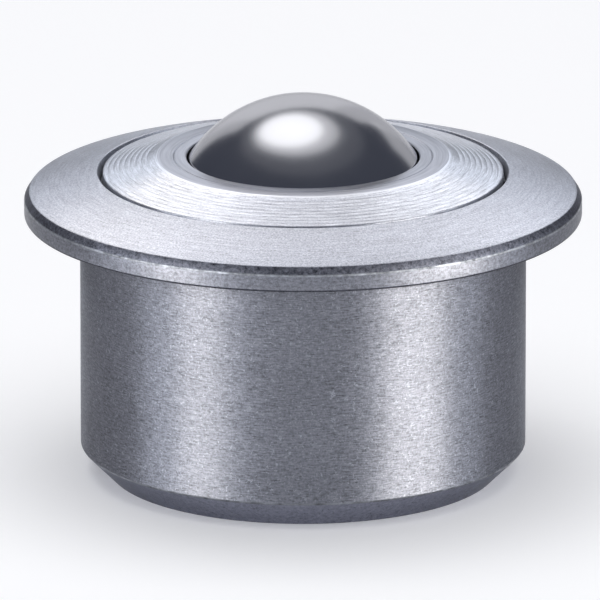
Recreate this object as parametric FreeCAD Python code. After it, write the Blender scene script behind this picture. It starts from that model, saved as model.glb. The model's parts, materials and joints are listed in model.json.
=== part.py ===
import FreeCAD, Part
import math
import os

# Flanged ball transfer unit, in millimetres. +Z is up, towards the large ball. The origin is on the
# axis, in the plane of the flange's underside, which rests on the plate that the unit drops into.
# Radii are measured from the axis. Heights grow from the flange up to the lip, and then down again
# from the ball's centre to the floor of the housing.

# Balls
ball_diameter = 22.0
ball_exposure = 4.9  # from the cap's lip to the top of the ball
support_ball_diameter = 4.0
support_ball_gap = 0.04  # between neighbouring small balls
support_zone_deg = 75.0  # how far up the cup the rows reach, from straight down
running_gap = 0.02  # large ball to small balls, and small balls to cup

# Raceway cup
cup_wall = 1.3
cup_fit = 0.02  # cup to housing

# Housing
housing_wall = 1.64
floor_thickness = 3.74  # under the lowest point of the cup
bottom_chamfer = 2.3
flange_overhang = 4.5
rim_height = 1.4  # upright edge of the flange
rim_edge_width = 0.42  # steep chamfer between the upright edge and the cone
rim_edge_height = 0.64
rim_break = 0.15  # small chamfer under the upright edge
flange_cone_rise = 1.72
bore_bevel_width = 0.25  # steep bevel that leads the cap into its seat
bore_bevel_height = 0.6

# Retaining cap
cap_fit = 0.2  # cap to bore, the dark ring seen from above
cap_depth = 2.16  # from the seam down to the cap's underside
cap_drop = 0.12  # the cap's outer edge sits this far below the edge of the bore
cap_edge_break = 0.08
cap_cone_rise = 1.26
cap_ring_pitch = 0.45  # fine turning grooves on the cap's cone
cap_ring_width = 0.1
cap_ring_depth = 0.02
cap_ring_margin = 0.4  # plain cone left at both ends
lip_width = 2.3
opening_gap = 0.16  # inner face of the cap to the ball
opening_break = 0.08
lip_groove_offset = 0.95  # from the edge of the opening
lip_groove_width = 0.16
lip_groove_depth = 0.06

# Felt seal
seal_width = 2.5
seal_height = 1.6
seal_gap = 0.03  # seal to ball

# Keeper ring
keeper_flange = 0.8
keeper_gap = 0.1  # to the cup, the bore and the top row of small balls
keeper_ball_gap = 0.25

# Snap ring
wire_diameter = 0.8
wire_gap = 0.05  # wire to the walls of its grooves
snap_ring_opening_deg = 14.0

# Radii that follow
ball_radius = ball_diameter / 2
support_ball_radius = support_ball_diameter / 2
support_track_radius = ball_radius + running_gap + support_ball_radius
cup_inner_radius = support_track_radius + support_ball_radius + running_gap
cup_outer_radius = cup_inner_radius + cup_wall
bore_radius = cup_outer_radius + cup_fit
body_radius = bore_radius + housing_wall
flange_radius = body_radius + flange_overhang
cap_radius = bore_radius - cap_fit
wire_track_radius = (bore_radius + cap_radius) / 2

# Heights that follow
rim_top = rim_height + rim_edge_height
seam_height = rim_top + flange_cone_rise
cap_edge_height = seam_height - cap_drop
lip_height = cap_edge_height + cap_cone_rise
ball_centre = lip_height + ball_exposure - ball_radius
cap_underside = seam_height - cap_depth
cup_top = cap_underside - keeper_flange
seal_top = cap_underside + seal_height
housing_bottom = ball_centre - bore_radius - floor_thickness

# Marks the corner at which an arc about the ball's centre arrives, in place of a straight line
ARC = "arc"
AXIS_POINT = FreeCAD.Vector(0, 0, 0)
AXIS = FreeCAD.Vector(0, 0, 1)


def round_ball(radius, height):
    """Distance from the axis of a sphere about the ball's centre, at a height."""
    return math.sqrt(radius**2 - (height - ball_centre) ** 2)


def profile_point(radius, height):
    return FreeCAD.Vector(radius, 0, height)


def straight_edge(start, end):
    return Part.LineSegment(profile_point(*start[:2]), profile_point(*end[:2])).toShape()


def arc_edge(start, end):
    """Arc about the ball's centre from one corner of a profile to the next."""
    radius = math.hypot(start[0], start[1] - ball_centre)
    angles = [math.atan2(corner[1] - ball_centre, corner[0]) for corner in (start, end)]
    middle = sum(angles) / 2
    middle_point = (radius * math.cos(middle), ball_centre + radius * math.sin(middle))
    points = [profile_point(*corner[:2]) for corner in (start, middle_point, end)]
    return Part.Arc(*points).toShape()


def turned(corners, sweep_deg=360):
    """Solid of revolution about Z. Each corner is (radius, height), or (radius, height, ARC)."""
    edges = []
    for start, end in zip(corners, corners[1:] + corners[:1]):
        edge = arc_edge if ARC in end else straight_edge
        edges.append(edge(start, end))
    return Part.Face(Part.Wire(edges)).revolve(AXIS_POINT, AXIS, sweep_deg)


def wire_groove_height():
    """Height of the snap ring, midway on the wall that the cap and the bore share."""
    return (cap_underside + seam_height - cap_edge_break - bore_bevel_height) / 2


def flange_cone_height(radius):
    """Height of the flange's cone, which falls from the bore to the steep edge chamfer."""
    cone_outer = flange_radius - rim_edge_width
    return rim_top + flange_cone_rise * (cone_outer - radius) / (cone_outer - bore_radius)


def cap_cone_height(radius):
    """Height of the cap's cone, which falls from the lip to the cap's outer edge."""
    return cap_edge_height + cap_cone_rise * (cap_radius - radius) / (cap_radius - lip_outer_radius())


def opening_radius():
    """Radius of the opening at the lip, where the small edge chamfer ends."""
    narrowest = round_ball(ball_radius + opening_gap, lip_height - opening_break)
    return narrowest + opening_break


def lip_outer_radius():
    return opening_radius() + lip_width


def housing():
    groove_radius = wire_track_radius + wire_diameter / 2 + wire_gap
    groove_half = wire_diameter / 2 + wire_gap
    groove = wire_groove_height()
    bevel_radius = bore_radius + bore_bevel_width
    bevel_top = flange_cone_height(bevel_radius)
    return turned([
        (0, housing_bottom),
        (body_radius - bottom_chamfer, housing_bottom),
        (body_radius, housing_bottom + bottom_chamfer),
        (body_radius, 0),
        (flange_radius - rim_break, 0),
        (flange_radius, rim_break),
        (flange_radius, rim_height),
        (flange_radius - rim_edge_width, rim_top),
        (bevel_radius, bevel_top),
        (bore_radius, bevel_top - bore_bevel_height),
        (bore_radius, groove + groove_half),
        (groove_radius, groove + groove_half),
        (groove_radius, groove - groove_half),
        (bore_radius, groove - groove_half),
        (bore_radius, ball_centre),
        (0, ball_centre - bore_radius, ARC),
    ])


def raceway_cup():
    return turned([
        (0, ball_centre - cup_outer_radius),
        (cup_outer_radius, ball_centre, ARC),
        (cup_outer_radius, cup_top),
        (cup_inner_radius, cup_top),
        (cup_inner_radius, ball_centre),
        (0, ball_centre - cup_inner_radius, ARC),
    ])


def row_angles():
    """Angle of each row from straight down. Six balls just fit round the lowest one."""
    pitch = math.asin((support_ball_diameter + support_ball_gap) / support_track_radius)
    count = int(math.radians(support_zone_deg) / pitch) + 1
    return [pitch * row for row in range(count)]


def support_balls(row, angle):
    """One ring of small balls that lies in the cup, turned half a pitch from the ring below."""
    ring_radius = support_track_radius * math.sin(angle)
    height = ball_centre - support_track_radius * math.cos(angle)
    ball_pitch = (support_ball_diameter + support_ball_gap) / 2
    count = 1 if row == 0 else int(math.pi / math.asin(ball_pitch / ring_radius) + 1e-6)
    balls = []
    for index in range(count):
        turn = 2 * math.pi * (index + row % 2 / 2) / count
        place = FreeCAD.Vector(ring_radius * math.cos(turn), ring_radius * math.sin(turn), height)
        balls.append(Part.makeSphere(support_ball_radius, place))
    return Part.makeCompound(balls)


def main_ball():
    return Part.makeSphere(ball_radius, FreeCAD.Vector(0, 0, ball_centre))


def keeper_ring():
    """Ring that lies on the cup's edge, with a skirt that stops above the top row of small balls."""
    top_row = ball_centre - support_track_radius * math.cos(row_angles()[-1])
    skirt_bottom = top_row + support_ball_radius + keeper_gap
    cup_height = min(skirt_bottom, ball_centre)
    skirt_outer = round_ball(cup_inner_radius, cup_height) - keeper_gap
    inner = ball_radius + keeper_ball_gap
    return turned([
        (inner, skirt_bottom),
        (skirt_outer, skirt_bottom),
        (skirt_outer, cup_top),
        (bore_radius - keeper_gap, cup_top),
        (bore_radius - keeper_gap, cap_underside),
        (inner, cap_underside),
    ])


def seal_recess_radius():
    return round_ball(ball_radius + seal_gap, cap_underside) + seal_width


def felt_seal():
    inner = ball_radius + seal_gap
    return turned([
        (round_ball(inner, cap_underside), cap_underside, ARC),
        (seal_recess_radius(), cap_underside),
        (seal_recess_radius(), seal_top),
        (round_ball(inner, seal_top), seal_top),
    ])


def cone_rings():
    """Corners of the turning grooves on the cap's cone, from the outside in."""
    outermost = cap_radius - cap_ring_margin
    count = int((outermost - lip_outer_radius() - cap_ring_margin) / cap_ring_pitch) + 1
    half = cap_ring_width / 2
    corners = []
    for index in range(count):
        ring = outermost - index * cap_ring_pitch
        corners += [
            (ring + half, cap_cone_height(ring + half)),
            (ring, cap_cone_height(ring) - cap_ring_depth),
            (ring - half, cap_cone_height(ring - half)),
        ]
    return corners


def retaining_cap():
    opening = opening_radius()
    sphere = ball_radius + opening_gap
    lip_groove = opening + lip_groove_offset
    half_groove = lip_groove_width / 2
    wire_groove = wire_groove_height()
    wire_half = wire_diameter / 2 + wire_gap
    wire_groove_radius = wire_track_radius - wire_half
    edge_radius = cap_radius - cap_edge_break
    return turned([
        (seal_recess_radius(), cap_underside),
        (cap_radius, cap_underside),
        (cap_radius, wire_groove - wire_half),
        (wire_groove_radius, wire_groove - wire_half),
        (wire_groove_radius, wire_groove + wire_half),
        (cap_radius, wire_groove + wire_half),
        (cap_radius, cap_cone_height(edge_radius) - cap_edge_break),
        (edge_radius, cap_cone_height(edge_radius)),
        *cone_rings(),
        (lip_outer_radius(), lip_height),
        (lip_groove + half_groove, lip_height),
        (lip_groove, lip_height - lip_groove_depth),
        (lip_groove - half_groove, lip_height),
        (opening, lip_height),
        (opening - opening_break, lip_height - opening_break),
        (round_ball(sphere, seal_top), seal_top, ARC),
        (seal_recess_radius(), seal_top),
    ])


def snap_ring():
    """Round wire bent to an open ring, half in the housing's groove and half in the cap's."""
    height = wire_groove_height()
    section = Part.makeCircle(
        wire_diameter / 2, profile_point(wire_track_radius, height), FreeCAD.Vector(0, 1, 0)
    )
    ring = Part.Face(Part.Wire([section])).revolve(AXIS_POINT, AXIS, 360 - snap_ring_opening_deg)
    return ring


def write_parts():
    parts = {
        "housing": housing(),
        "raceway_cup": raceway_cup(),
        "main_ball": main_ball(),
        "keeper_ring": keeper_ring(),
        "felt_seal": felt_seal(),
        "retaining_cap": retaining_cap(),
        "snap_ring": snap_ring(),
    }
    for row, angle in enumerate(row_angles()):
        parts[f"support_balls_row_{row}"] = support_balls(row, angle)
    os.makedirs("parts", exist_ok=True)
    for name, shape in parts.items():
        shape.exportStep(f"parts/{name}.step")
        print(name, len(shape.Solids), round(shape.Volume, 3), shape.isValid())


write_parts()
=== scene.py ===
"""Looks of a flanged ball transfer unit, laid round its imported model. Lengths are in metres."""
import json
import math
from collections import namedtuple

import bmesh
import bpy
from bpy.props import FloatProperty, FloatVectorProperty, IntProperty, PointerProperty
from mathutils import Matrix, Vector


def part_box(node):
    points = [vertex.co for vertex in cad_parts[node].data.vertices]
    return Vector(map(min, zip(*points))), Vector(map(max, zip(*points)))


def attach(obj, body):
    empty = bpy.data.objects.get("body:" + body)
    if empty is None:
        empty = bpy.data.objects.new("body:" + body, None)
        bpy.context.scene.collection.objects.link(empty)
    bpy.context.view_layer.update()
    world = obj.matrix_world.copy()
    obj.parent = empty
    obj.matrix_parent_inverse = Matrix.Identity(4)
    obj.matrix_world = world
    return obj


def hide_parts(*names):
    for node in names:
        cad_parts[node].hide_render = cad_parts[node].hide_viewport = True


bl_info = {
    "name": "Ball Transfer Unit",
    "version": (1, 0, 0),
    "blender": (4, 5, 0),
    "location": "3D View > Sidebar > Transfer Unit",
    "description": "Turned housing, cap and polished ball of a flanged ball transfer unit",
    "category": "Add Mesh",
}

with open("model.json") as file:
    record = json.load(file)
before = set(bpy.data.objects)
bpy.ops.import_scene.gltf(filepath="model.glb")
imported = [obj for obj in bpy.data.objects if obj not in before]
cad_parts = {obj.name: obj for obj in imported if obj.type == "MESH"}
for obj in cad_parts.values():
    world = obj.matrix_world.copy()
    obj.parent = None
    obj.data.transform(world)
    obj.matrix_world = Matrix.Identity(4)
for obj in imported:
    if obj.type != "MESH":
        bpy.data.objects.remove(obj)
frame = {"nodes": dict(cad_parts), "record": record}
MM = 0.001

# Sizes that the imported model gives
HOUSING_LOW, HOUSING_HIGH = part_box("housing")
CAP_LOW, CAP_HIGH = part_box("retaining_cap")
CUP_LOW, CUP_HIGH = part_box("raceway_cup")
BALL_LOW, BALL_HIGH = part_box("main_ball")
SEAL_LOW, SEAL_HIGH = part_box("felt_seal")
WIRE_LOW, WIRE_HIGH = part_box("snap_ring")
BALL_CENTRE = (BALL_LOW.z + BALL_HIGH.z) / 2
BALL_RADIUS = (BALL_HIGH.z - BALL_LOW.z) / 2
WIRE_RADIUS = (WIRE_HIGH.z - WIRE_LOW.z) / 2
WIRE_HEIGHT = (WIRE_HIGH.z + WIRE_LOW.z) / 2
BODY_RADIUS = next(
    mount["dims"]["r_mm"] * MM for mount in frame["record"]["mounts"] if mount["name"] == "body"
)

# Meshes
SAME_PLACE = 1e-7
SHARP_RING = math.radians(8)
SHARP_SHADING = math.radians(25)
SEAT_STEPS = 24
OPENING_STEPS = 6
EDGE_SEGMENTS = 3
BALL_SEGMENTS, BALL_RINGS = 128, 64
SHARP_BORE = 0.05 * MM  # rings of the housing that are nearer the bore stay sharp
CAP_EDGE_ACROSS, CAP_EDGE_DOWN = 0.01 * MM, 0.2 * MM  # reach of the cap's rounded outer edge
CAP_EDGE_SHARE, CAP_EDGE_SEGMENTS = 0.5, 2

# Zones of the finishes: how far past a corner each one starts
CONE_SLACK = 0.02 * MM
RIM_SLACK = 0.02 * MM
EDGE_SLACK = 0.03 * MM
CHAMFER_SLACK = 0.02 * MM
# How far up past the small chamfer the painted shade under the flange reaches
UNDERSIDE_SLACK = 0.06 * MM
# Band of steel bright from rubbing and partly from a painted highlight, as a share
WORN_HIGHLIGHT_SHARE = 0.95  # of the edge rounding
LEANING = 0.3  # upright part of a normal, above which a face isn't wall

# Shades of one colour
RIM_LEVEL = 0.87  # of the body's colour
# Lightens the band at the cone's inner end: a painted highlight
HIGHLIGHT_BAND_LEVEL = 1.15  # of the cap's colour
# Lift that scratches and painted glints add, in parts of the body's colour
SCRATCH_AND_GLINT_LIFT = 0.6  # that a scratch adds, in parts of the body's colour

# Stage
FLOOR_GAP = 0.02 * MM  # keeps the floor out of the housing's flat bottom
FLOOR_RADIUS = 2.5
FLOOR_SEGMENTS = 96
PICTURE_SIZE = 600
SENSOR_WIDTH = 36.0
CLIP_START, CLIP_END = 0.1, 10.0
LAMP_DISTANCE = 0.8
LIT_PIECES = {
    "steel": ["turned_housing", "turned_cap"],
    "ball": ["polished_load_ball"],
    "floor": ["floor"],
}
PLAIN, WARM, COOL = (1.0, 1.0, 1.0), (1.0, 0.958, 0.88), (0.92, 0.96, 1.0)
STREAK = (1.0, 0.95, 0.85)

# Azimuth and elevation are from the camera's side, and width and height are as seen from the
# object, all in degrees. The group is what the lamp lights.
Lamp = namedtuple("Lamp", "name azimuth elevation width height radiance shape group tint")
LAMPS = [
    Lamp("top_core", 20, 110.5, 36, 41, 1.05, "ELLIPSE", "all", PLAIN),
    Lamp("top_halo", 13, 108, 50, 55, 0.68, "ELLIPSE", "all", PLAIN),
    Lamp("top_skirt", 2, 102, 76, 82, 0.06, "ELLIPSE", "all", PLAIN),
    Lamp("ball_panel", 184, 19, 57, 42, 0.60, "RECTANGLE", "ball", PLAIN),
    Lamp("ball_side", 146, 10, 18, 27, 0.50, "RECTANGLE", "ball", PLAIN),
    Lamp("ball_crown", -174, 23, 34, 34, 0.24, "RECTANGLE", "ball", PLAIN),
    Lamp("back_middle", 180, 20, 60, 16, 2.25, "RECTANGLE", "steel", COOL),
    Lamp("back_high", 180, 38, 60, 18, 2.64, "RECTANGLE", "steel", WARM),
    Lamp("back_upper", 180, 56, 60, 18, 1.49, "RECTANGLE", "steel", WARM),
    Lamp("left_strip", -53, 9, 22, 24, 9.60, "RECTANGLE", "steel", STREAK),
    Lamp("right_strip", 58, 9, 34, 26, 11.80, "RECTANGLE", "steel", STREAK),
    Lamp("left_wide", -58, 14, 60, 30, 3.70, "RECTANGLE", "steel", COOL),
    Lamp("right_wide", 66, 14, 70, 30, 2.50, "RECTANGLE", "steel", COOL),
    Lamp("left_back", -150, 42, 26, 30, 2.19, "RECTANGLE", "steel", WARM),
    Lamp("right_back", 150, 42, 26, 30, 1.64, "RECTANGLE", "steel", COOL),
    Lamp("left_behind", -158, 8, 20, 20, 0.35, "RECTANGLE", "steel", COOL),
    Lamp("front_low", 0, 8, 50, 22, 1.32, "RECTANGLE", "steel", COOL),
    Lamp("floor_wash", 0, 80, 70, 70, 1.59, "RECTANGLE", "floor", PLAIN),
]


# Properties

def length(name, description, default_mm):
    """A length property whose default is written in millimetres."""
    return FloatProperty(
        name=name, description=description, default=default_mm * MM, min=0.0, precision=5,
        unit="LENGTH", subtype="DISTANCE",
    )


def colour(name, description, default):
    return FloatVectorProperty(
        name=name, description=description, default=default, min=0.0, max=1.0, size=3,
        subtype="COLOR",
    )


def factor(name, description, default):
    return FloatProperty(
        name=name, description=description, default=default, min=0.0, max=1.0, subtype="FACTOR"
    )


class TransferUnitSizes(bpy.types.PropertyGroup):
    """Sizes of the turned pieces"""
    spin_steps: IntProperty(
        name="Steps round the axis", description="Facets of each turned surface in a full turn",
        default=288, min=48, max=512,
    )
    bottom_chamfer: length("Bottom chamfer", "Chamfer under the body, both ways", 2.3)
    rim_height: length("Rim height", "Upright edge of the flange", 1.4)
    rim_edge_width: length("Rim edge width", "Steep chamfer on the flange's edge, across", 0.42)
    rim_edge_height: length("Rim edge height", "Steep chamfer on the flange's edge, upright", 0.64)
    rim_break: length("Rim break", "Small chamfer under the flange's edge", 0.15)
    bore_fit: length("Bore fit", "Gap between the raceway cup and the housing's bore", 0.02)
    bevel_width: length("Bore bevel width", "Steep bevel that leads the cap in, across", 0.25)
    bevel_height: length("Bore bevel height", "Steep bevel that leads the cap in, upright", 0.6)
    wire_gap: length("Wire gap", "Snap ring to the walls of its grooves", 0.05)
    edge_round: length("Edge rounding", "Rounding of the turned outer edges", 0.1)
    lip_width: length("Lip width", "Flat ring round the opening", 2.3)
    # Width of the band of painted highlight
    lip_edge: length("Lip edge", "Band of painted highlight where the cone meets the flat lip", 0.2)
    opening_gap: length("Opening gap", "Inner face of the cap to the ball", 0.16)
    opening_break: length("Opening break", "Small chamfer on the opening's edge", 0.08)
    cap_edge_break: length("Cap edge break", "Small chamfer on the cap's outer edge", 0.08)
    cap_drop: length("Cap drop", "The cap's outer edge below the edge of the bore", 0.12)
    lip_groove_offset: length("Lip groove offset", "From the edge of the opening", 0.95)
    lip_groove_width: length("Lip groove width", "Fine groove turned in the lip, across", 0.16)
    lip_groove_depth: length("Lip groove depth", "Fine groove turned in the lip, deep", 0.06)
    ring_pitch: length("Ring pitch", "From one turning groove on the cone to the next", 0.45)
    ring_width: length("Ring width", "Turning groove on the cap's cone, across", 0.1)
    ring_depth: length("Ring depth", "Turning groove on the cap's cone, deep", 0.02)
    ring_margin: length("Ring margin", "Plain cone left at both ends of the grooves", 0.4)


class TransferUnitFinishes(bpy.types.PropertyGroup):
    """Colours and gloss of the pieces"""
    body_colour: colour("Body steel", "Turned steel of the body", (0.277, 0.285, 0.327))
    flange_colour: colour("Flange steel", "Blasted steel of the flange", (0.298, 0.310, 0.358))
    # At half level this colour also paints the shade under the flange
    edge_colour: colour("Edge steel", "Raw, darker steel of the edges", (0.147, 0.153, 0.188))
    # Bright from rubbing, and partly a painted highlight along the edges
    worn_highlight_colour: colour("Worn steel and painted highlight", "Bright steel of rubbed edges", (0.300, 0.315, 0.355))
    cap_colour: colour("Cap steel", "Turned steel of the cap", (0.362, 0.375, 0.426))
    lip_colour: colour("Lip steel", "Smoother steel of the flat lip", (0.243, 0.254, 0.300))
    ball_colour: colour("Ball steel", "Polished bearing steel", (0.566, 0.566, 0.592))
    cup_colour: colour("Cup steel", "Hardened steel of the raceway", (0.36, 0.34, 0.33))
    wire_colour: colour("Wire steel", "Drawn steel of the snap ring", (0.26, 0.26, 0.28))
    keeper_colour: colour("Keeper polymer", "Natural polymer of the keeper", (0.80, 0.78, 0.72))
    felt_colour: colour("Felt", "Dark felt of the wiper ring", (0.10, 0.095, 0.09))
    body_roughness: factor("Body roughness", "Roughness of the turned body", 0.5)
    ball_roughness: factor("Ball roughness", "Roughness of the polished balls", 0.21)


class TransferUnitStage(bpy.types.PropertyGroup):
    """Camera, floor and room"""
    camera_distance: length("Camera distance", "From the lens to the cap's opening", 1410.0)
    camera_elevation: FloatProperty(
        name="Camera elevation", description="Angle above the floor at which the photo was taken",
        default=math.radians(15.95), unit="ROTATION", subtype="ANGLE",
    )
    pixels_per_metre: FloatProperty(
        name="Picture scale", description="Pixels to a metre at the cap's opening", default=12410.0
    )
    opening_x: FloatProperty(
        name="Opening X", description="Opening's centre from the photo's left edge, in pixels",
        default=303.1, subtype="PIXEL",
    )
    opening_y: FloatProperty(
        name="Opening Y", description="Opening's centre from the photo's top edge, in pixels",
        default=155.8, subtype="PIXEL",
    )
    floor_colour: colour("Floor", "Pale floor", (0.80, 0.80, 0.81))
    floor_glow: factor("Floor glow", "White that camera and steel see on top of the floor", 0.25)
    room_colour: colour("Room light", "Even light from all sides", (0.070, 0.077, 0.101))


# Meshes

def sphere_radius_at(radius, height):
    """Distance from the axis of a sphere about the ball's centre, at a height."""
    return math.sqrt(radius**2 - (height - BALL_CENTRE) ** 2)


def arc_about_ball(radius, start_deg, end_deg, steps):
    """Profile points on a sphere about the ball's centre. Angles are from straight out."""
    points = []
    for step in range(steps + 1):
        angle = math.radians(start_deg + (end_deg - start_deg) * step / steps)
        points.append((radius * math.cos(angle), BALL_CENTRE + radius * math.sin(angle)))
    return points


def sphere_between(radius, high, low, steps):
    """Profile points down a sphere about the ball's centre, from one height to another."""
    start, end = (
        math.degrees(math.asin((height - BALL_CENTRE) / radius)) for height in (high, low)
    )
    return arc_about_ball(radius, start, end, steps)


def bore_edge_height(sizes):
    """Height at which the flange's cone would meet the bore."""
    bore = CUP_HIGH.x + sizes.bore_fit
    cone_outer = HOUSING_HIGH.x - sizes.rim_edge_width
    rim_top = sizes.rim_height + sizes.rim_edge_height
    bevel_radius = bore + sizes.bevel_width
    slope = (HOUSING_HIGH.z - rim_top) / (cone_outer - bevel_radius)
    return HOUSING_HIGH.z + slope * sizes.bevel_width


def spin_profile(profile, steps):
    """A closed mesh turned about Z from a ring of (radius, height) corners."""
    mesh = bmesh.new()
    corners = [mesh.verts.new((radius, 0.0, height)) for radius, height in profile]
    edges = [mesh.edges.new(pair) for pair in zip(corners, corners[1:] + corners[:1])]
    bmesh.ops.spin(
        mesh, geom=corners + edges, cent=(0, 0, 0), axis=(0, 0, 1), dvec=(0, 0, 0),
        angle=math.tau, steps=steps, use_merge=True, use_duplicate=False,
    )
    bmesh.ops.remove_doubles(mesh, verts=mesh.verts, dist=SAME_PLACE)
    bmesh.ops.recalc_face_normals(mesh, faces=mesh.faces)
    return mesh


def wire_groove(wall, floor, half):
    """Corners of the snap ring's groove in an upright wall, from the top down."""
    above, below = WIRE_HEIGHT + half, WIRE_HEIGHT - half
    return [(wall, above), (floor, above), (floor, below), (wall, below)]


def v_groove(middle, width, depth, surface):
    """Corners of a fine groove, from the outside in. The surface gives a height at a radius."""
    outer, inner = middle + width / 2, middle - width / 2
    return [(outer, surface(outer)), (middle, surface(middle) - depth), (inner, surface(inner))]


def ring_place_of(point):
    """Distance from the axis, and height."""
    return Vector((point.x, point.y, 0)).length, point.z


def round_rings(mesh, offset, segments, wanted):
    """Rounds the sharp rings of a turned mesh whose (radius, height) passes the test."""
    rings = []
    for edge in mesh.edges:
        start, end = (vert.co for vert in edge.verts)
        level = abs(start.z - end.z) < SAME_PLACE
        sharp = edge.is_manifold and edge.calc_face_angle() > SHARP_RING
        if level and sharp and wanted(*ring_place_of(start)):
            rings.append(edge)
    bmesh.ops.bevel(
        mesh, geom=rings, offset=offset, offset_type="OFFSET", affect="EDGES", segments=segments,
        profile=0.5, material=-1,
    )


def finish_piece(mesh, name, body, nodes, materials, zone=None):
    """Turns a bmesh into a smooth piece that rides on a body and stands for CAD nodes."""
    for face in mesh.faces:
        face.smooth = True
        if zone:
            face.material_index = zone(face)
    for edge in mesh.edges:
        if edge.is_manifold and edge.calc_face_angle() > SHARP_SHADING:
            edge.smooth = False
    data = bpy.data.meshes.new(name)
    mesh.to_mesh(data)
    mesh.free()
    for material in materials:
        data.materials.append(material)
    piece = bpy.data.objects.new(name, data)
    bpy.context.scene.collection.objects.link(piece)
    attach(piece, body)
    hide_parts(*nodes)


# Nodes. The scales of noise are repeats to the metre.

def node(tree, kind, settings=None, **inputs):
    """Adds a node, sets its plain settings and fills or links its inputs by name or number."""
    made = tree.nodes.new(kind)
    for key, value in (settings or {}).items():
        setattr(made, key, value)
    for key, value in inputs.items():
        socket = made.inputs[int(key[1:]) if key[0] == "_" else key.replace("_", " ")]
        if isinstance(value, bpy.types.NodeSocket):
            tree.links.new(value, socket)
        else:
            socket.default_value = value
    return made


def maths(tree, operation, *values):
    """Result of a Math node."""
    inputs = {f"_{number}": value for number, value in enumerate(values)}
    return node(tree, "ShaderNodeMath", {"operation": operation}, **inputs).outputs["Value"]


def scaled(tree, vector, scale):
    return node(
        tree, "ShaderNodeVectorMath", {"operation": "SCALE"}, _0=vector, Scale=scale
    ).outputs["Vector"]


def new_finish(name, base_colour, roughness, metallic=1.0):
    """A material with its constants on the shader's own sockets."""
    material = bpy.data.materials.new(name)
    material.use_nodes = True
    shader = material.node_tree.nodes["Principled BSDF"]
    shader.inputs["Base Color"].default_value = (*base_colour, 1.0)
    shader.inputs["Metallic"].default_value = metallic
    shader.inputs["Roughness"].default_value = roughness
    return material, material.node_tree, shader


def drive(tree, shader, **values):
    """Links values to the shader's sockets by name."""
    for name, value in values.items():
        tree.links.new(value, shader.inputs[name.replace("_", " ")])


def object_place(tree):
    return node(tree, "ShaderNodeTexCoord").outputs["Object"]


def stretched(tree, scale):
    """Object coordinates with their own scale along each axis."""
    place = object_place(tree)
    return node(tree, "ShaderNodeMapping", Vector=place, Scale=scale).outputs["Vector"]


def ring_place(tree, around, across):
    """Coordinates along the turning marks: slow round the axis and fast across them."""
    parts = node(tree, "ShaderNodeSeparateXYZ", Vector=object_place(tree)).outputs
    level = node(tree, "ShaderNodeCombineXYZ", X=parts["X"], Y=parts["Y"]).outputs["Vector"]
    radius = node(
        tree, "ShaderNodeVectorMath", {"operation": "LENGTH"}, _0=level
    ).outputs["Value"]
    turn = node(
        tree, "ShaderNodeVectorMath", {"operation": "NORMALIZE"}, _0=level
    ).outputs["Vector"]
    ends = node(tree, "ShaderNodeSeparateXYZ", Vector=scaled(tree, turn, around)).outputs
    fast = maths(tree, "MULTIPLY", radius, across)
    return node(
        tree, "ShaderNodeCombineXYZ", X=ends["X"], Y=ends["Y"], Z=fast
    ).outputs["Vector"]


def noise(tree, place, scale=1.0, detail=2.0, rough=0.6):
    return node(
        tree, "ShaderNodeTexNoise", Vector=place, Scale=scale, Detail=detail, Roughness=rough
    ).outputs["Fac"]


def speckles(tree, fineness, detail=2.0, rough=0.6):
    """Noise that is alike in all directions."""
    place = stretched(tree, (fineness, fineness, fineness))
    return noise(tree, place, detail=detail, rough=rough)


def turning_marks(tree, around, across, rough=0.7):
    """Noise in rings round the axis."""
    return noise(tree, ring_place(tree, around, across), rough=rough)


def remap(tree, value, low, high, from_low=0.3, from_high=0.7):
    """Spreads a noise value over a range."""
    return node(
        tree, "ShaderNodeMapRange", Value=value, From_Min=from_low, From_Max=from_high,
        To_Min=low, To_Max=high,
    ).outputs["Result"]


def tinted(tree, base_colour, value, low, high):
    """The base colour, darkened and lightened by a noise value."""
    return scaled(tree, base_colour, remap(tree, value, low, high))


def mixed(tree, first, second, share):
    """Weighted mean of two values. The share is the second one's."""
    made = node(tree, "ShaderNodeMix", {"data_type": "FLOAT"}, _0=share, _2=first, _3=second)
    return made.outputs[0]


def bumped(tree, shader, height, depth, strength):
    made = node(tree, "ShaderNodeBump", Height=height, Distance=depth, Strength=strength)
    drive(tree, shader, Normal=made.outputs["Normal"])


def turned_grain(tree, shader, anisotropy, edge_tint=0.7):
    """Stretches the gloss across the turning marks, which run round the axis.

    The tangent runs round the axis too, and a rotation of 0.25 is a quarter turn from it.
    """
    shader.inputs["Specular Tint"].default_value = (edge_tint, edge_tint, edge_tint, 1.0)
    shader.inputs["Anisotropic"].default_value = anisotropy
    shader.inputs["Anisotropic Rotation"].default_value = 0.25
    made = node(tree, "ShaderNodeTangent", {"direction_type": "RADIAL", "axis": "Z"})
    drive(tree, shader, Tangent=made.outputs["Tangent"])


def scratches(tree, fineness, width, keep):
    """Parts of the borders of warped cells: one on a short curved scratch, nought elsewhere."""
    place = stretched(tree, (fineness, fineness, fineness))
    warp = node(
        tree, "ShaderNodeTexNoise", Vector=place, Scale=1.7, Detail=2.0
    ).outputs["Color"]
    bent = node(
        tree, "ShaderNodeVectorMath", {"operation": "ADD"}, _0=place, _1=warp
    ).outputs["Vector"]
    border = node(
        tree, "ShaderNodeTexVoronoi", {"feature": "DISTANCE_TO_EDGE"}, Vector=bent, Scale=1.0
    ).outputs["Distance"]
    line = maths(tree, "LESS_THAN", border, width)
    shown = maths(tree, "GREATER_THAN", noise(tree, place, scale=2.3, detail=1.0), keep)
    return maths(tree, "MULTIPLY", line, shown)


# Materials

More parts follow.
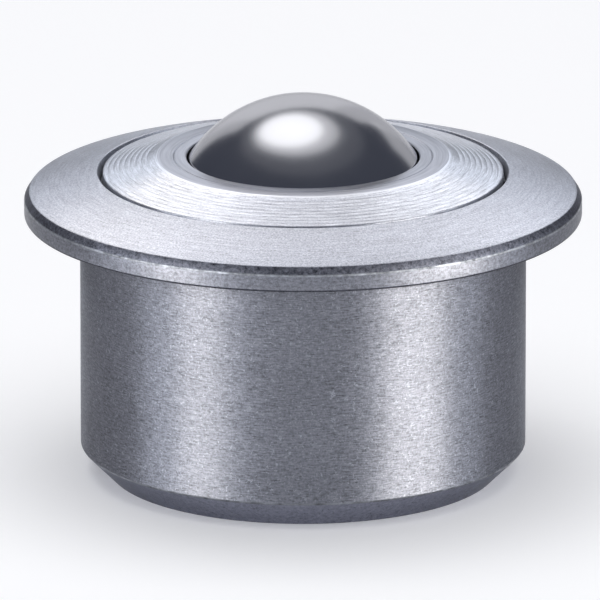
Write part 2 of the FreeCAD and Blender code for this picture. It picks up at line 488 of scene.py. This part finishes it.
def body_steel(finishes):
    """Satin turned wall: fine level lines, speckle, clouding, short paler scratches and sparse
    bright dots that are painted glints.
    """
    base, roughness = finishes.body_colour, finishes.body_roughness
    material, tree, shader = new_finish("turned_body", base, roughness)
    lines = noise(tree, stretched(tree, (1500, 1500, 10500)), detail=1.5)
    grain = mixed(tree, lines, speckles(tree, 5800), share=0.46)
    cloud = noise(tree, stretched(tree, (160, 160, 260)), detail=3.0)
    # Sparse bright dots: painted glints
    painted_glints = remap(tree, speckles(tree, 5200, detail=1.0), 0.0, 0.7, from_low=0.64, from_high=0.74)
    # Scratches together with painted glints
    marks = maths(tree, "MAXIMUM", scratches(tree, 1550, width=0.042, keep=0.61), painted_glints)
    level = maths(
        tree, "MULTIPLY", remap(tree, grain, 0.36, 1.56), remap(tree, cloud, 0.92, 1.08)
    )
    lifted = maths(tree, "MULTIPLY_ADD", marks, SCRATCH_AND_GLINT_LIFT, level)
    drive(
        tree, shader, Base_Color=scaled(tree, base, lifted),
        Roughness=remap(tree, grain, roughness - 0.1, roughness + 0.1),
    )
    bumped(tree, shader, grain, depth=0.04 * MM, strength=0.5)
    turned_grain(tree, shader, anisotropy=0.95, edge_tint=0.5)
    return material


def flange_steel(finishes):
    """Fine blasted cone of the flange."""
    base = finishes.flange_colour
    material, tree, shader = new_finish("blasted_flange", base, 0.5)
    speckle = speckles(tree, 6800, detail=3.0, rough=0.7)
    grain = mixed(tree, speckle, turning_marks(tree, 6.0, 6800, rough=0.6), share=0.25)
    drive(
        tree, shader, Base_Color=tinted(tree, base, grain, 0.45, 1.55),
        Roughness=remap(tree, grain, 0.34, 0.46),
    )
    bumped(tree, shader, grain, depth=0.03 * MM, strength=0.5)
    turned_grain(tree, shader, anisotropy=0.6, edge_tint=0.55)
    return material


def rim_steel(finishes):
    """Turned rim of the flange, coarser and darker than the body."""
    base = tuple(part * RIM_LEVEL for part in finishes.body_colour)
    material, tree, shader = new_finish(
        "turned_rim", finishes.body_colour, finishes.body_roughness
    )
    lines = noise(tree, stretched(tree, (1200, 1200, 7000)), detail=3.0)
    grain = mixed(tree, lines, speckles(tree, 4200, detail=4.0, rough=0.8), share=0.7)
    drive(
        tree, shader, Base_Color=tinted(tree, base, grain, 0.3, 1.7),
        Roughness=remap(tree, grain, 0.36, 0.52),
    )
    bumped(tree, shader, grain, depth=0.03 * MM, strength=0.5)
    turned_grain(tree, shader, anisotropy=0.9)
    return material


def edge_steel(finishes, name, level, roughness, contrast):
    """Raw edge of the flange or the bottom, with coarse dark speckle. At a low level it is also
    the painted shade under the flange's edge.
    """
    base = tuple(part * level for part in finishes.edge_colour)
    material, tree, shader = new_finish(name, base, roughness)
    speckle = speckles(tree, 3400, detail=4.0, rough=0.85)
    drive(
        tree, shader,
        Base_Color=tinted(tree, base, speckle, 1.0 - contrast, 1.0 + contrast),
        Roughness=remap(tree, speckle, roughness - 0.1, roughness + 0.12),
    )
    bumped(tree, shader, speckle, depth=0.04 * MM, strength=0.6)
    turned_grain(tree, shader, anisotropy=0.3, edge_tint=0.45)
    return material


def worn_highlight_steel(finishes):
    """Edges made bright by rubbing, duller where the rubbing missed. The brightness is partly a
    painted highlight along the edges.
    """
    base = finishes.worn_highlight_colour
    material, tree, shader = new_finish("worn_edge_painted_highlight", base, 0.35)
    patches = speckles(tree, 1100, detail=3.0, rough=0.7)
    drive(
        tree, shader, Base_Color=tinted(tree, base, patches, 0.3, 1.0),
        Roughness=remap(tree, patches, 0.55, 0.36),
    )
    return material


def cap_cone_steel(finishes):
    """Turned cone of the cap: long rings, bright and dark, under finer ones. Their bright and dark
    is partly the rings' own tone and partly painted light and shade of the turning grooves.
    """
    base = finishes.cap_colour
    material, tree, shader = new_finish("grooved_cap_cone", base, 0.4)
    broad = turning_marks(tree, 3.0, 6800)
    rings = mixed(tree, broad, turning_marks(tree, 9.0, 11000), share=0.72)
    grain = mixed(tree, rings, speckles(tree, 6800), share=0.4)
    drive(
        # Ring contrast in the colour: partly the rings' own tone, partly painted light and shade
        # of the grooves
        tree, shader, Base_Color=tinted(tree, base, grain, 0.5, 1.5),
        Roughness=remap(tree, rings, 0.42, 0.28),
    )
    bumped(tree, shader, rings, depth=0.03 * MM, strength=0.5)
    turned_grain(tree, shader, anisotropy=0.85)
    return material


def lip_steel(finishes):
    """Flat lip round the opening, with a plainer gloss than the cone."""
    base = finishes.lip_colour
    material, tree, shader = new_finish("turned_lip", base, 0.36)
    broad = turning_marks(tree, 0.7, 4300)
    rings = mixed(tree, broad, turning_marks(tree, 3.0, 8200), share=0.5)
    drive(
        tree, shader, Base_Color=tinted(tree, base, rings, 0.6, 1.3),
        Roughness=remap(tree, rings, 0.32, 0.40),
    )
    bumped(tree, shader, rings, depth=0.02 * MM, strength=0.4)
    turned_grain(tree, shader, anisotropy=0.1)
    return material


def highlight_band_steel(finishes):
    """Band at the inner end of the cap's cone, lightened as a painted highlight."""
    base = tuple(min(1.0, part * HIGHLIGHT_BAND_LEVEL) for part in finishes.cap_colour)
    material, tree, shader = new_finish("cap_band_painted_highlight", base, 0.32)
    rings = turning_marks(tree, 2.2, 8200)
    drive(tree, shader, Base_Color=tinted(tree, base, rings, 0.6, 1.4))
    turned_grain(tree, shader, anisotropy=0.85)
    return material


def ball_steel(finishes):
    """Polished bearing ball with barely visible polishing cloud."""
    base, roughness = finishes.ball_colour, finishes.ball_roughness
    material, tree, shader = new_finish("polished_ball", base, roughness)
    cloud = speckles(tree, 140, detail=3.0)
    drive(
        tree, shader, Base_Color=tinted(tree, base, cloud, 0.97, 1.03),
        Roughness=remap(tree, cloud, roughness - 0.015, roughness + 0.02),
    )
    shader.inputs["Specular Tint"].default_value = (0.8, 0.8, 0.82, 1.0)
    return material


def raceway_steel(finishes):
    """Hardened, ground cup, slightly browned by its heat treatment."""
    base = finishes.cup_colour
    material, tree, shader = new_finish("hardened_cup", base, 0.3)
    cloud = speckles(tree, 260, detail=4.0)
    drive(
        tree, shader, Base_Color=tinted(tree, base, cloud, 0.8, 1.15),
        Roughness=remap(tree, cloud, 0.24, 0.38),
    )
    return material


def wire_steel(finishes):
    """Drawn spring wire."""
    base = finishes.wire_colour
    material, tree, shader = new_finish("drawn_wire", base, 0.35)
    drawn = noise(tree, stretched(tree, (900, 900, 5000)), detail=3.0)
    drive(
        tree, shader, Base_Color=tinted(tree, base, drawn, 0.8, 1.2),
        Roughness=remap(tree, drawn, 0.28, 0.45),
    )
    return material


def keeper_polymer(finishes):
    """Moulded ring in natural polymer."""
    base = finishes.keeper_colour
    material, tree, shader = new_finish("moulded_keeper", base, 0.45, metallic=0.0)
    cloud = speckles(tree, 700, detail=3.0)
    drive(tree, shader, Base_Color=tinted(tree, base, cloud, 0.94, 1.04))
    bumped(tree, shader, cloud, depth=0.03 * MM, strength=0.3)
    return material


def pressed_felt(finishes):
    """Dark pressed felt with short crossing fibres."""
    base = finishes.felt_colour
    material, tree, shader = new_finish("pressed_felt", base, 0.95, metallic=0.0)
    fibres = noise(tree, stretched(tree, (5200, 1800, 5200)), detail=4.0, rough=0.8)
    crossing = noise(tree, stretched(tree, (1800, 5200, 4200)), detail=4.0, rough=0.8)
    web = mixed(tree, fibres, crossing, share=0.5)
    drive(tree, shader, Base_Color=tinted(tree, base, web, 0.6, 1.6))
    bumped(tree, shader, web, depth=0.1 * MM, strength=0.8)
    return material


def pale_floor(stage):
    """Floor that takes the shadow, with some white added for the camera and the steel."""
    material, tree, shader = new_finish("pale_floor", stage.floor_colour, 0.9, metallic=0.0)
    shader.inputs["Specular IOR Level"].default_value = 0.1
    shader.inputs["Emission Color"].default_value = (1.0, 1.0, 1.0, 1.0)
    ray = node(tree, "ShaderNodeLightPath").outputs
    seen = maths(tree, "MAXIMUM", ray["Is Camera Ray"], ray["Is Glossy Ray"])
    seen = maths(tree, "MAXIMUM", seen, ray["Is Transmission Ray"])
    drive(tree, shader, Emission_Strength=maths(tree, "MULTIPLY", seen, stage.floor_glow))
    return material


def dress(names, material):
    """Gives CAD nodes their finish."""
    for name in names:
        slots = frame["nodes"][name].data.materials
        slots.clear()
        slots.append(material)


# Stage

def direction(azimuth, elevation):
    """Unit vector from the object, by angles in degrees from the camera's side."""
    turn, rise = math.radians(azimuth), math.radians(elevation)
    return Vector((
        math.sin(turn) * math.cos(rise), -math.cos(turn) * math.cos(rise), math.sin(rise)
    ))


def lamp_width(angle):
    """Width of a lamp that covers an angle in degrees, as seen from the object."""
    return 2 * LAMP_DISTANCE * math.tan(math.radians(angle / 2))


def add_lamp(scene, lamp, receivers):
    light = bpy.data.lights.new(lamp.name, "AREA")
    light.shape = lamp.shape
    light.size, light.size_y = lamp_width(lamp.width), lamp_width(lamp.height)
    area = light.size * light.size_y * (math.pi / 4 if lamp.shape == "ELLIPSE" else 1)
    light.energy = lamp.radiance * math.pi * area
    light.color = lamp.tint
    out = direction(lamp.azimuth, lamp.elevation)
    placed = bpy.data.objects.new(lamp.name, light)
    placed.location = out * LAMP_DISTANCE
    placed.rotation_euler = out.to_track_quat("Z", "Y").to_euler()
    placed.visible_camera = False
    if lamp.group != "all":
        placed.light_linking.receiver_collection = receivers[lamp.group]
    scene.collection.objects.link(placed)


# Operators

class TRANSFER_OT_housing(bpy.types.Operator):
    """Turn the flanged housing with its bore, seat and chamfers"""
    bl_idname = "transfer.housing"
    bl_label = "Housing"

    def execute(self, context):
        sizes = context.scene.transfer_sizes
        finishes = context.scene.transfer_finishes
        flange_radius, bottom, top = HOUSING_HIGH.x, HOUSING_LOW.z, HOUSING_HIGH.z
        bore = CUP_HIGH.x + sizes.bore_fit
        rim_top = sizes.rim_height + sizes.rim_edge_height
        chamfer_top = bottom + sizes.bottom_chamfer
        # Reach of the edge band that is bright from rubbing and partly from a painted highlight
        worn = sizes.edge_round * WORN_HIGHLIGHT_SHARE

        def outer_edge(radius, height):
            return radius > bore + SHARP_BORE

        seat = arc_about_ball(bore, 0, -90, SEAT_STEPS)
        profile = [
            (0, bottom),
            (BODY_RADIUS - sizes.bottom_chamfer, bottom),
            (BODY_RADIUS, chamfer_top),
            (BODY_RADIUS, 0),
            (flange_radius - sizes.rim_break, 0),
            (flange_radius, sizes.rim_break),
            (flange_radius, sizes.rim_height),
            (flange_radius - sizes.rim_edge_width, rim_top),
            (bore + sizes.bevel_width, top),
            (bore, top - sizes.bevel_height),
            *wire_groove(bore, WIRE_HIGH.x + sizes.wire_gap, WIRE_RADIUS + sizes.wire_gap),
            *seat[:-1],
            (0, seat[-1][1]),
        ]
        mesh = spin_profile(profile, sizes.spin_steps)
        round_rings(mesh, sizes.edge_round, EDGE_SEGMENTS, outer_edge)
        materials = [
            body_steel(finishes),
            flange_steel(finishes),
            edge_steel(finishes, "raw_flange_edge", level=1.0, roughness=0.4, contrast=0.85),
            rim_steel(finishes),
            edge_steel(finishes, "raw_bottom", level=1.6, roughness=0.34, contrast=0.45),
            # Edges bright from rubbing and partly from a painted highlight
            worn_highlight_steel(finishes),
            # Painted shade: the flange's underside and the small chamfer under its edge are
            # darkened
            edge_steel(finishes, "flange_underside_painted_shade", level=0.5, roughness=0.3, contrast=0.6),
        ]
        wall, cone, edge, rim, chamfer, rubbed_highlight, underside = range(len(materials))

        def zone(face):
            radius, height = ring_place_of(face.calc_center_median())
            # Rings at the rim's top and the chamfer's top: rubbing and a painted highlight
            if radius > flange_radius - worn and abs(height - sizes.rim_height) < worn:
                return rubbed_highlight
            if radius > BODY_RADIUS - worn and abs(height - chamfer_top) < worn:
                return rubbed_highlight
            if height > rim_top - CONE_SLACK or radius < bore:
                return cone
            # Painted shade under the flange: its underside and small chamfer take the darkened
            # finish
            if radius > BODY_RADIUS + worn and height < sizes.rim_break + UNDERSIDE_SLACK:
                return underside
            if height > sizes.rim_height + EDGE_SLACK:
                return edge
            if height > RIM_SLACK:
                return rim
            leans = abs(face.normal.z) > LEANING
            return chamfer if height < chamfer_top - CHAMFER_SLACK and leans else wall

        finish_piece(
            mesh, "turned_housing", "housing", ["housing"], materials, zone
        )
        return {"FINISHED"}


class TRANSFER_OT_cap(bpy.types.Operator):
    """Turn the retaining cap with its lip, opening and seal recess"""
    bl_idname = "transfer.cap"
    bl_label = "Retaining cap"

    def execute(self, context):
        sizes = context.scene.transfer_sizes
        finishes = context.scene.transfer_finishes
        cap_radius, underside, lip = CAP_HIGH.x, CAP_LOW.z, CAP_HIGH.z
        inner = BALL_RADIUS + sizes.opening_gap
        opening = sphere_radius_at(inner, lip - sizes.opening_break) + sizes.opening_break
        lip_outer = opening + sizes.lip_width
        edge_radius = cap_radius - sizes.cap_edge_break
        edge_height = bore_edge_height(sizes) - sizes.cap_drop
        band_outer = lip_outer + sizes.lip_edge
        recess = SEAL_HIGH.x

        def cone(radius):
            rise = (lip - edge_height) * (cap_radius - radius)
            return edge_height + rise / (cap_radius - lip_outer)

        def flat(radius):
            return lip

        def outer_edge(radius, height):
            near = radius > edge_radius - CAP_EDGE_ACROSS
            return near and height > edge_height - CAP_EDGE_DOWN

        turning_grooves = []
        ring = cap_radius - sizes.ring_margin
        while ring > lip_outer + sizes.ring_margin:
            turning_grooves += v_groove(ring, sizes.ring_width, sizes.ring_depth, cone)
            ring -= sizes.ring_pitch
        groove = wire_groove(
            cap_radius, WIRE_HIGH.x - 2 * WIRE_RADIUS - sizes.wire_gap,
            WIRE_RADIUS + sizes.wire_gap,
        )
        lip_groove = v_groove(
            opening + sizes.lip_groove_offset, sizes.lip_groove_width, sizes.lip_groove_depth, flat
        )
        profile = [
            (recess, underside),
            (cap_radius, underside),
            *reversed(groove),
            (cap_radius, cone(edge_radius) - sizes.cap_edge_break),
            (edge_radius, cone(edge_radius)),
            *turning_grooves,
            (band_outer, cone(band_outer)),
            (lip_outer, lip),
            *lip_groove,
            (opening, lip),
            *sphere_between(inner, lip - sizes.opening_break, SEAL_HIGH.z, OPENING_STEPS),
            (recess, SEAL_HIGH.z),
        ]
        mesh = spin_profile(profile, sizes.spin_steps)
        round_rings(mesh, sizes.edge_round * CAP_EDGE_SHARE, CAP_EDGE_SEGMENTS, outer_edge)
        # The band at the cone's inner end is a painted highlight
        materials = [cap_cone_steel(finishes), lip_steel(finishes), highlight_band_steel(finishes)]
        grooved, level, band = range(len(materials))

        def zone(face):
            radius, height = ring_place_of(face.calc_center_median())
            if radius < lip_outer:
                return level
            # Painted highlight: the band at the cone's inner end
            return band if radius < band_outer and height > edge_height else grooved

        finish_piece(
            mesh, "turned_cap", "housing", ["retaining_cap"], materials, zone
        )
        return {"FINISHED"}


class TRANSFER_OT_ball(bpy.types.Operator):
    """Make the polished load ball"""
    bl_idname = "transfer.ball"
    bl_label = "Load ball"

    def execute(self, context):
        mesh = bmesh.new()
        bmesh.ops.create_uvsphere(
            mesh, u_segments=BALL_SEGMENTS, v_segments=BALL_RINGS, radius=BALL_RADIUS
        )
        bmesh.ops.translate(mesh, verts=mesh.verts, vec=(0, 0, BALL_CENTRE))
        polish = ball_steel(context.scene.transfer_finishes)
        finish_piece(
            mesh, "polished_load_ball", "main_ball", ["main_ball"], [polish]
        )
        return {"FINISHED"}


class TRANSFER_OT_inner_pieces(bpy.types.Operator):
    """Finish the pieces that the housing hides. The small balls take the load ball's polish"""
    bl_idname = "transfer.inner_pieces"
    bl_label = "Inner pieces"

    def execute(self, context):
        finishes = context.scene.transfer_finishes
        rows = [name for name in frame["nodes"] if name.startswith("support_balls")]
        dress(rows, bpy.data.materials["polished_ball"])
        dress(["raceway_cup"], raceway_steel(finishes))
        dress(["snap_ring"], wire_steel(finishes))
        dress(["keeper_ring"], keeper_polymer(finishes))
        dress(["felt_seal"], pressed_felt(finishes))
        return {"FINISHED"}


class TRANSFER_OT_stage(bpy.types.Operator):
    """Set the pale floor, the soft lights and the camera"""
    bl_idname = "transfer.stage"
    bl_label = "Stage"

    def execute(self, context):
        scene, stage = context.scene, context.scene.transfer_stage
        self.floor(scene, stage)
        self.lights(scene, stage)
        self.camera(scene, stage)
        return {"FINISHED"}

    def floor(self, scene, stage):
        mesh = bmesh.new()
        bmesh.ops.create_circle(
            mesh, cap_ends=True, radius=FLOOR_RADIUS, segments=FLOOR_SEGMENTS
        )
        bmesh.ops.translate(mesh, verts=mesh.verts, vec=(0, 0, HOUSING_LOW.z - FLOOR_GAP))
        data = bpy.data.meshes.new("floor")
        mesh.to_mesh(data)
        mesh.free()
        data.materials.append(pale_floor(stage))
        floor = bpy.data.objects.new("floor", data)
        scene.collection.objects.link(floor)

    def lights(self, scene, stage):
        receivers = {}
        for group, pieces in LIT_PIECES.items():
            receivers[group] = bpy.data.collections.new(f"lit_{group}")
            for piece in pieces:
                receivers[group].objects.link(bpy.data.objects[piece])
        for lamp in LAMPS:
            add_lamp(scene, lamp, receivers)
        world = bpy.data.worlds.new("studio")
        world.use_nodes = True
        background = world.node_tree.nodes["Background"]
        background.inputs["Color"].default_value = (*stage.room_colour, 1.0)
        background.inputs["Strength"].default_value = 1.0
        scene.world = world
        scene.view_settings.view_transform = "Standard"

    def camera(self, scene, stage):
        opening = Vector((0, 0, CAP_HIGH.z))
        rise = stage.camera_elevation
        back = Vector((0, -math.cos(rise), math.sin(rise)))
        up = Vector((0, math.sin(rise), math.cos(rise)))
        across = (stage.opening_x - PICTURE_SIZE / 2) / stage.pixels_per_metre
        above = (PICTURE_SIZE / 2 - stage.opening_y) / stage.pixels_per_metre
        place = opening + back * stage.camera_distance
        aim = opening - up * above - Vector((1, 0, 0)) * across
        data = bpy.data.cameras.new("photo_camera")
        data.sensor_width = SENSOR_WIDTH
        data.lens = stage.pixels_per_metre * stage.camera_distance * SENSOR_WIDTH / PICTURE_SIZE
        data.clip_start, data.clip_end = CLIP_START, CLIP_END
        camera = bpy.data.objects.new("photo_camera", data)
        camera.location = place
        camera.rotation_euler = (aim - place).to_track_quat("-Z", "Y").to_euler()
        scene.collection.objects.link(camera)
        scene.camera = camera


OPERATORS = [
    TRANSFER_OT_housing,
    TRANSFER_OT_cap,
    TRANSFER_OT_ball,
    TRANSFER_OT_inner_pieces,
    TRANSFER_OT_stage,
]


class TRANSFER_PT_panel(bpy.types.Panel):
    """Steps of the unit, with its sizes, finishes and stage"""
    bl_idname = "TRANSFER_PT_panel"
    bl_label = "Ball Transfer Unit"
    bl_space_type = "VIEW_3D"
    bl_region_type = "UI"
    bl_category = "Transfer Unit"

    def draw(self, context):
        for operator in OPERATORS:
            self.layout.operator(operator.bl_idname)
        scene = context.scene
        for group in (scene.transfer_sizes, scene.transfer_finishes, scene.transfer_stage):
            box = self.layout.box()
            for name in group.bl_rna.properties.keys():
                if name not in ("rna_type", "name"):
                    box.prop(group, name)


CLASSES = [
    TransferUnitSizes, TransferUnitFinishes, TransferUnitStage, *OPERATORS, TRANSFER_PT_panel
]


def register():
    for item in CLASSES:
        bpy.utils.register_class(item)
    bpy.types.Scene.transfer_sizes = PointerProperty(type=TransferUnitSizes)
    bpy.types.Scene.transfer_finishes = PointerProperty(type=TransferUnitFinishes)
    bpy.types.Scene.transfer_stage = PointerProperty(type=TransferUnitStage)


def unregister():
    del bpy.types.Scene.transfer_stage
    del bpy.types.Scene.transfer_finishes
    del bpy.types.Scene.transfer_sizes
    for item in reversed(CLASSES):
        bpy.utils.unregister_class(item)


def main():
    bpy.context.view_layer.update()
    register()
    bpy.ops.transfer.housing()
    bpy.ops.transfer.cap()
    bpy.ops.transfer.ball()
    bpy.ops.transfer.inner_pieces()
    bpy.ops.transfer.stage()


if __name__ == "__main__":
    main()
